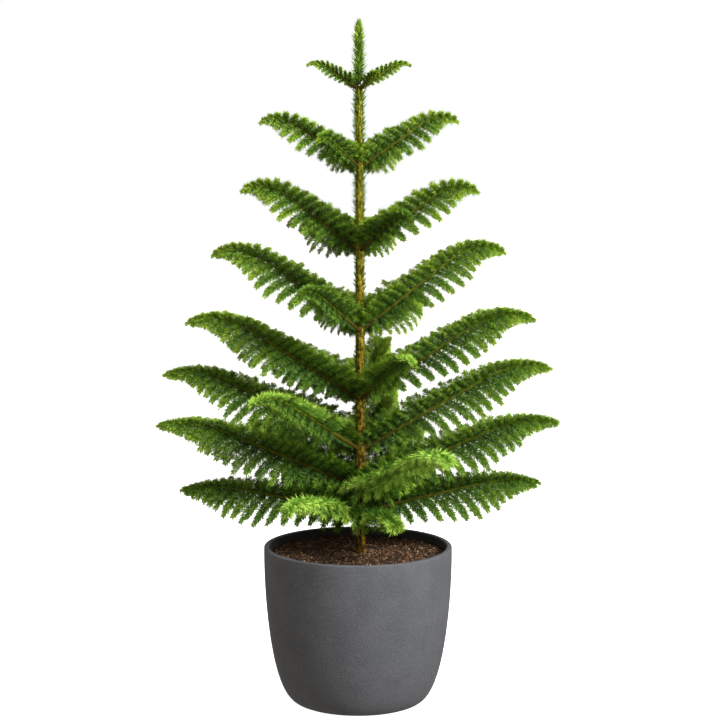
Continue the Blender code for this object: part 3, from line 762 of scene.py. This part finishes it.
TWIG_KINDS = (("twigs", twig_lines, TWIG_COLOUR), ("new_twigs", new_twig_lines, NEW_TWIG_COLOUR))
for name, lines, colour in TWIG_KINDS:
    lines = np.array(lines)
    steps = np.linspace(0, TWIG_END, TWIG_RINGS)
    rings = np.stack([bezier_points(lines, np.full(len(lines), step)) for step in steps], 1)
    radii = np.tile(between(TWIG_RADIUS, steps), (len(lines), 1))
    across = unit(np.cross(lines[:, 1] - lines[:, 0], lines[:, 2] - lines[:, 0]) + np.array([0.0, 0.0, 1e-6]))
    corners, triangles = limbs(rings, radii, TWIG_SIDES, across)
    twig_green, shader = new_finish(name + "_green", colour, 0.6, 0.2)
    twigs = triangle_piece(name, corners, triangles, twig_green)
    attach(twigs, "root")


# Needles also stand on the woody stems themselves. The trunk keeps a thin halo of old ones, greener towards
# the top, and each branch carries short ones, which close up at its tip into a yellow-green brush.
TRUNK_NEEDLE_STEP = 0.030
TRUNK_NEEDLES_A_STEP = (34, 130)
TRUNK_NEEDLE_REACH = 0.0132
TRUNK_NEEDLE_SPREAD = 42
TRUNK_NEEDLE_TONE = (0.24, 0.60)
TRUNK_NEEDLE_WIDTH = 0.00110
STEM_NEEDLE_STEPS = 14
STEM_BARE = 0.06
CLOSES_FROM = 0.72
STEM_NEEDLES_A_METRE = (3400, 7600)
STEM_NEEDLE_REACH = (0.0076, 0.0072)
STEM_TIP_SHORTER = 0.34
TOP_WHORL_REACH = 0.66
STEM_NEEDLE_SPREAD = 56
STEM_SPREAD_CLOSES = (14, 26)
STEM_NEEDLE_WIDTH = 0.00105
STEM_TONE = 0.16
STEM_TONE_ALONG = 0.42
STEM_TONE_CLOSING = 0.25
STEM_TONE_A_WHORL = 0.03
STEM_ROUNDNESS = 0.22
STEM_ROUNDNESS_CLOSING = 0.68


def straight_stretch(start, end, face, radius, count, reach, spread, tone, width, roundness, new=0):
    """A leafy stretch along a straight line."""
    line = np.array([start, (start + end) / 2, end])
    leafy.append((line, face, radius, int(count), reach, spread, tone, width, roundness, new))


front = np.array([0.0, -1.0, 0.0])
for foot in np.arange(TRUNK_FOOT + 0.02, TRUNK_TOP - TRUNK_NEEDLE_STEP / 2, TRUNK_NEEDLE_STEP):
    youth = (foot - TRUNK_FOOT) / (TRUNK_TOP - TRUNK_FOOT)
    head = min(foot + TRUNK_NEEDLE_STEP, TRUNK_TOP)
    around = (float(trunk_radius(foot)), float(trunk_radius(head)))
    count = between(TRUNK_NEEDLES_A_STEP, youth)
    tone = between(TRUNK_NEEDLE_TONE, youth)
    straight_stretch(trunk_axis(foot), trunk_axis(head), front, around, count, (TRUNK_NEEDLE_REACH,) * 2,
                     (TRUNK_NEEDLE_SPREAD,) * 2, (tone, tone), TRUNK_NEEDLE_WIDTH, 1.0)

for branch in branches:
    for step in range(STEM_NEEDLE_STEPS):
        low = STEM_BARE + (1 - STEM_BARE) * step / STEM_NEEDLE_STEPS
        high = STEM_BARE + (1 - STEM_BARE) * (step + 1) / STEM_NEEDLE_STEPS
        closing = max(0.0, (high - CLOSES_FROM) / (1 - CLOSES_FROM))
        count = branch.length * (high - low) * between(STEM_NEEDLES_A_METRE, closing)
        around = (float(branch.radius(low)), float(branch.radius(high)))
        # Stem needles get lighter outwards too: partly their age, partly painted shade near the trunk.
        tone = STEM_TONE + STEM_TONE_ALONG * low + STEM_TONE_CLOSING * closing
        tone += STEM_TONE_A_WHORL * branch.whorl
        reach = between(STEM_NEEDLE_REACH, closing) * (1 - STEM_TIP_SHORTER * closing ** 2)
        reach *= TOP_WHORL_REACH if branch.whorl == len(WHORLS) - 1 else 1.0
        spread = [STEM_NEEDLE_SPREAD - closes * closing for closes in STEM_SPREAD_CLOSES]
        roundness = STEM_ROUNDNESS + STEM_ROUNDNESS_CLOSING * closing
        new = int(is_new_growth(branch, low))
        straight_stretch(branch.point(low), branch.point(high), branch.side, around, count, (reach, reach),
                         spread, (tone, tone), STEM_NEEDLE_WIDTH, roundness, new)


# The leading shoot goes on straight from the trunk's top: a soft green stem, shaggy with longer needles that
# point up and out, and closed at its tip in a blunt yellow-green bud.
LEADER_RADIUS = 0.0030
LEADER_MIDDLE_RADIUS = 0.0021
LEADER_TIP_RADIUS = 0.0012
LEADER_RINGS = 12
LEADER_SIDES = 10
LEADER_STEM_END = 0.006
LEADER_GREEN = (70, 86, 16)
LEADER_NEEDLES = 560
LEADER_NEEDLES_START = 0.002
LEADER_NEEDLES_END = 0.0075
LEADER_LOWER_SHARE = 0.46
LEADER_NEEDLE_WIDTH = 0.00130
LOWER_LEADER = {"reach": (0.0140, 0.0128), "spread": (48, 44), "tone": (0.58, 0.74)}
UPPER_LEADER = {"reach": (0.0128, 0.0084), "spread": (44, 10), "tone": (0.68, 0.90)}
leader_heights = np.linspace(TRUNK_TOP, PLANT_TIP - LEADER_STEM_END, LEADER_RINGS)
leader_line = trunk_axis(leader_heights)[None]
leader_radii = np.linspace(LEADER_RADIUS, LEADER_TIP_RADIUS, LEADER_RINGS)[None]
corners, triangles = limbs(leader_line, leader_radii, LEADER_SIDES, np.array([[1.0, 0.0, 0.0]]))
leader_green, shader = new_finish("leader_green", LEADER_GREEN, 0.5, 0.15)
add_bump(leader_green, shader, noise_value(leader_green, 900), 0.0005)
leader = triangle_piece("leading_shoot_stem", corners, triangles, leader_green)
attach(leader, "root")
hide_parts("leading_shoot")
leader_foot = trunk_axis(np.float64(TRUNK_TOP + LEADER_NEEDLES_START))
leader_middle = trunk_axis(np.float64((TRUNK_TOP + PLANT_TIP) / 2))
leader_head = trunk_axis(np.float64(PLANT_TIP - LEADER_NEEDLES_END))
straight_stretch(leader_foot, leader_middle, front,
                 (LEADER_RADIUS, LEADER_MIDDLE_RADIUS), LEADER_NEEDLES * LEADER_LOWER_SHARE,
                 LOWER_LEADER["reach"], LOWER_LEADER["spread"], LOWER_LEADER["tone"],
                 LEADER_NEEDLE_WIDTH, 1.0)
straight_stretch(leader_middle, leader_head, front,
                 (LEADER_MIDDLE_RADIUS, LEADER_TIP_RADIUS), LEADER_NEEDLES * (1 - LEADER_LOWER_SHARE),
                 UPPER_LEADER["reach"], UPPER_LEADER["spread"], UPPER_LEADER["tone"],
                 LEADER_NEEDLE_WIDTH, 1.0)


# The needles are soft blades with a folded keel, most 4 to 13 mm long, set in a spiral round the twig and
# pointing ahead: short ones by the twig, made darker as painted shade, and longer ones that make its fringe.
# They are darker inside the crown, partly by age and partly as painted shade, lighter outwards, yellow-green
# at the tips, and bright green where new.
GOLDEN_ANGLE = math.radians(137.508)
CROWDING = 0.28
WIDEST_AT = 0.46
FOLD = 0.6
ROLL = 50
INNER_SHARE = 0.40
INNER_REACH = 0.66
INNER_WIDTH = 1.3
INNER_PAINTED_SHADE = 0.26
MOST_IN_A_PIECE = 95000
OLD_TONES = (("needles_deep", (46, 72, 20)), ("needles_dark", (62, 96, 26)), ("needles_mid", (82, 120, 32)),
             ("needles_light", (112, 150, 38)), ("needles_tip", (152, 182, 48)))
OLD_EDGES = (0.18, 0.36, 0.56, 0.76)
NEW_TONES = (("needles_new", (84, 130, 40)), ("needles_new_light", (128, 174, 58)),
             ("needles_new_tip", (174, 210, 84)))
NEW_EDGES = (0.42, 0.70)
TONE_JITTER = 0.05
SPREAD_JITTER = 11
LENGTH_JITTER = (0.66, 1.18)
WIDTH_JITTER = (0.85, 1.15)
ROOT_SHARE = 0.6

stretches = np.array(leafy, dtype=STRETCH)
owner = np.repeat(np.arange(len(stretches)), stretches["count"])
firsts = np.concatenate([[0], np.cumsum(stretches["count"])[:-1]])
number = np.arange(len(owner)) - firsts[owner]
of = stretches[owner]
along = (number + rng.uniform(0, 1, len(owner))) / of["count"]
inner = rng.uniform(0, 1, len(owner)) < INNER_SHARE
turn = GOLDEN_ANGLE * number + rng.uniform(0, 2 * math.pi, len(stretches))[owner]
turn -= CROWDING * np.sin(2 * turn)


def at_both_ends(field):
    """A field's value at each needle, read between the two ends of its stretch."""
    return of[field][:, 0] + (of[field][:, 1] - of[field][:, 0]) * along


start, bend, end = (of["line"][:, index] for index in range(3))
t = along[:, None]
base = bezier_points(of["line"], along)
forward = unit((bend - start) * (1 - t) + (end - bend) * t)
face = unit(of["face"] - forward * np.sum(of["face"] * forward, -1, keepdims=True))
across = np.cross(forward, face)
outward = across * np.cos(turn)[:, None] + face * (np.sin(turn) * of["round"])[:, None]
late = along ** 4
spread = of["spread"][:, 0] + (of["spread"][:, 1] - of["spread"][:, 0]) * late
spread = np.radians(spread + rng.uniform(-SPREAD_JITTER, SPREAD_JITTER, len(owner)))[:, None]
heading = unit(forward * np.cos(spread) + outward * np.sin(spread))
reach = of["reach"][:, 0] + (of["reach"][:, 1] - of["reach"][:, 0]) * late
reach *= rng.uniform(*LENGTH_JITTER, len(owner)) * np.where(inner, INNER_REACH, 1)
reach = reach[:, None]
base = base + unit(outward) * (at_both_ends("radius") * ROOT_SHARE)[:, None]
half = of["width"] * rng.uniform(*WIDTH_JITTER, len(owner)) * np.where(inner, INNER_WIDTH, 1) / 2
half = half[:, None]
roll = np.radians(rng.uniform(-ROLL, ROLL, len(owner)))[:, None]
flat = unit(np.cross(heading, face))
thick = np.cross(heading, flat)
flat, thick = flat * np.cos(roll) + thick * np.sin(roll), thick * np.cos(roll) - flat * np.sin(roll)
middle = base + heading * reach * WIDEST_AT - thick * half * FOLD
corners = np.stack([base, middle + flat * half, base + heading * reach, middle - flat * half], 1)
# The inner needles by the twig are made darker: painted shade at the core of each shoot.
tone = at_both_ends("tone") + rng.normal(0, TONE_JITTER, len(owner)) - np.where(inner, INNER_PAINTED_SHADE, 0)
old_tone, new_tone = np.digitize(tone, OLD_EDGES), np.digitize(tone, NEW_EDGES)
kind = np.where(of["new"] == 1, len(OLD_TONES) + new_tone, old_tone)
BLADE = np.array([(0, 1, 2), (0, 2, 3)])
fronds = sorted(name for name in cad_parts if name.startswith("frond"))

for index, (name, colour) in enumerate(OLD_TONES + NEW_TONES):
    green, shader = new_finish(name + "_green", colour, 0.50, 0.25)
    chosen = corners[kind == index]
    parts = max(1, math.ceil(len(chosen) / MOST_IN_A_PIECE))
    for part, share in enumerate(np.array_split(chosen, parts)):
        triangles = (BLADE + 4 * np.arange(len(share))[:, None, None]).reshape(-1, 3)
        piece_name = name if parts == 1 else f"{name}_{part + 1}"
        piece = triangle_piece(piece_name, share.reshape(-1, 3), triangles, green, smooth=False)
        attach(piece, "root")
        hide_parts(*fronds)


# A plain white studio. The floor glows white and throws no light on the plant, and the surround is white to
# the camera but dimmer as a light. One large soft light stands at the upper right in front, and another hangs
# overhead. The camera is above the middle of the crown and looks slightly down.
FLOOR_HALF = 14.0
CAMERA_PLACE = (0.003, -3.0, 0.888)
CAMERA_DOWN = 7.14
CAMERA_LENS = 102.6
SENSOR_WIDTH = 36.0
SURROUND_LIGHT = (0.42, 0.39, 0.345, 1.0)
# Each light's name, place, target, size and power.
LIGHTS = (("key", (2.5, -2.1, 2.3), (0, 0, 0.5), 1.4, 222),
          ("overhead", (0, -0.6, 3.2), (0, 0, 0.4), 2.0, 50))
paper, shader = new_finish("lit_paper", (255, 255, 255), 0.9, 0.1)
shader.inputs["Emission Color"].default_value = (1.0, 1.0, 1.0, 1.0)
shader.inputs["Emission Strength"].default_value = 1.0
floor_corners = np.array([(-FLOOR_HALF, -FLOOR_HALF, 0), (FLOOR_HALF, -FLOOR_HALF, 0),
                          (FLOOR_HALF, FLOOR_HALF, 0), (-FLOOR_HALF, FLOOR_HALF, 0)])
floor = triangle_piece("floor", floor_corners, np.array([(0, 1, 2), (0, 2, 3)]), paper)
floor.visible_diffuse = False
floor.visible_glossy = False
floor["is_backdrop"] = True

world = bpy.data.worlds.new("studio")
bpy.context.scene.world = world
world.use_nodes = True
surround, links = world.node_tree.nodes["Background"], world.node_tree.links
light_path = world.node_tree.nodes.new("ShaderNodeLightPath")
brightness = world.node_tree.nodes.new("ShaderNodeMix")
brightness.data_type = "RGBA"
brightness.inputs["A"].default_value = SURROUND_LIGHT
brightness.inputs["B"].default_value = (1.0, 1.0, 1.0, 1.0)
links.new(light_path.outputs["Is Camera Ray"], brightness.inputs["Factor"])
links.new(brightness.outputs["Result"], surround.inputs["Color"])

for name, place, target, size, power in LIGHTS:
    lamp = bpy.data.lights.new(name, "AREA")
    lamp.size = size
    lamp.energy = power
    light = bpy.data.objects.new(name, lamp)
    light.location = place
    light.rotation_euler = (Vector(target) - Vector(place)).to_track_quat("-Z", "Y").to_euler()
    bpy.context.scene.collection.objects.link(light)
bpy.context.scene.view_settings.view_transform = "Standard"

lens = bpy.data.cameras.new("camera")
lens.lens = CAMERA_LENS
lens.sensor_width = SENSOR_WIDTH
camera = bpy.data.objects.new("camera", lens)
camera.location = CAMERA_PLACE
camera.rotation_euler = (math.radians(90 - CAMERA_DOWN), 0, 0)
bpy.context.scene.collection.objects.link(camera)
bpy.context.scene.camera = camera

low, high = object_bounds()
